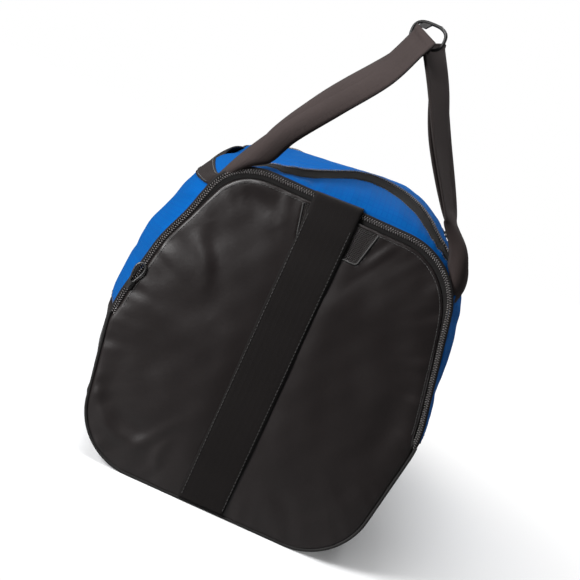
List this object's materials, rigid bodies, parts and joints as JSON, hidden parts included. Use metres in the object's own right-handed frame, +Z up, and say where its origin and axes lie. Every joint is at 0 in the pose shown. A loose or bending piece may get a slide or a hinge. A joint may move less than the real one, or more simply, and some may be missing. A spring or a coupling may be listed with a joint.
{
  "type": "duffel bag",
  "caption": "Soft duffel bag with a zipped lid, a zipped end pocket behind webbing, lengthwise carry handles and an end strap loop with a ladder-lock buckle.",
  "frame": {"origin": "middle of the flat base, on the floor", "axes": "+Z up, +Y along the bag away from the zipped end pocket, +X to the right when facing that end"},
  "size_m": [0.3608, 0.6151, 0.5397],
  "materials": {
    "charcoal_cloth": "coated, soft sheen",
    "blue_ripstop": "ripstop weave",
    "black_webbing": "twill webbing",
    "zip_tape": "woven tape with coil teeth",
    "piping_cloth": "matt",
    "vent_mesh": "open mesh",
    "lining": "matt",
    "black_metal": "satin black",
    "black_plastic": "moulded, satin",
    "base_board": "matt"
  },
  "bodies": {
    "bag": {"bottom_panel": "charcoal_cloth", "left_boot_panel": "charcoal_cloth", "right_boot_panel": "charcoal_cloth", "left_side_panel": "blue_ripstop", "right_side_panel": "blue_ripstop", "near_top_panel": "blue_ripstop", "far_top_panel": "blue_ripstop", "main_zip_body_half": "zip_tape", "end_panel_lower": "charcoal_cloth", "end_zip_body_half": "zip_tape", "end_webbing_lower": "black_webbing", "near_piping": "piping_cloth", "far_end_panel": "charcoal_cloth", "far_piping": "piping_cloth", "pocket_divider": "lining", "base_board": "base_board", "strap_anchor_left": "black_webbing", "strap_anchor_right": "black_webbing", "left_handle_webbing": "black_webbing", "right_handle_webbing": "black_webbing"},
    "lid": {"lid_panel": "blue_ripstop", "main_zip_lid_half": "zip_tape"},
    "near_slider": {"main_slider_near": "black_metal"},
    "near_pull": {"main_pull_near": "black_metal"},
    "far_slider": {"main_slider_far": "black_metal"},
    "far_pull": {"main_pull_far": "black_metal"},
    "end_flap": {"end_panel_upper": "charcoal_cloth", "end_zip_flap_half": "zip_tape", "vent_mesh": "vent_mesh", "end_webbing_upper": "black_webbing"},
    "end_zip_slider": {"end_slider": "black_metal"},
    "end_pull": {"end_ring_pull": "black_metal"},
    "strap": {"strap_left_leg": "black_webbing", "strap_right_leg": "black_webbing"},
    "buckle": {"strap_buckle": "black_plastic"},
    "left_grip": {"left_handle_grip": "black_webbing"},
    "right_grip": {"right_handle_grip": "black_webbing"}
  },
  "joints": [
    {"name": "lid_hinge", "type": "hinge", "parent": "bag", "child": "lid", "pos_m": [-0.1, 0, 0.34635], "axis": [0, -1, 0], "range_deg": [0, 110]},
    {"name": "near_slider_slide", "type": "slide", "parent": "lid", "child": "near_slider", "axis": [0, -1, 0], "range_m": [0, 0.17]},
    {"name": "far_slider_slide", "type": "slide", "parent": "lid", "child": "far_slider", "axis": [0, 1, 0], "range_m": [0, 0.17]},
    {"name": "near_pull_hinge", "type": "hinge", "parent": "near_slider", "child": "near_pull", "pos_m": [0.1309, -0.02, 0.33317], "axis": [-0.7761, 0, 0.6307], "range_deg": [0, 170]},
    {"name": "far_pull_hinge", "type": "hinge", "parent": "far_slider", "child": "far_pull", "pos_m": [0.1309, 0.02, 0.33317], "axis": [0.7761, 0, -0.6307], "range_deg": [0, 170]},
    {"name": "flap_hinge", "type": "hinge", "parent": "bag", "child": "end_flap", "pos_m": [0, -0.3022, 0.15], "axis": [1, 0, 0], "range_deg": [0, 100]},
    {"name": "end_slider_slide", "type": "slide", "parent": "end_flap", "child": "end_zip_slider", "axis": [0.2042, 0, 0.9789], "range_m": [-0.012, 0.085]},
    {"name": "end_pull_hinge", "type": "hinge", "parent": "end_zip_slider", "child": "end_pull", "pos_m": [-0.15976, -0.3046, 0.18208], "axis": [0.9789, 0, -0.2042], "range_deg": [0, 170]},
    {"name": "strap_swing", "type": "hinge", "parent": "bag", "child": "strap", "pos_m": [0, -0.2985, 0.352], "axis": [1, 0, 0], "range_deg": [-60, 100]},
    {"name": "buckle_tilt", "type": "hinge", "parent": "strap", "child": "buckle", "pos_m": [0.009, -0.2985, 0.525], "axis": [0.9976, 0, -0.0698], "range_deg": [0, 30]},
    {"name": "left_grip_swing", "type": "hinge", "parent": "bag", "child": "left_grip", "pos_m": [-0.15348, 0, 0.314], "axis": [0, 1, 0], "range_deg": [-30, 30]},
    {"name": "right_grip_swing", "type": "hinge", "parent": "bag", "child": "right_grip", "pos_m": [0.15348, 0, 0.314], "axis": [0, 1, 0], "range_deg": [-30, 30]}
  ]
}
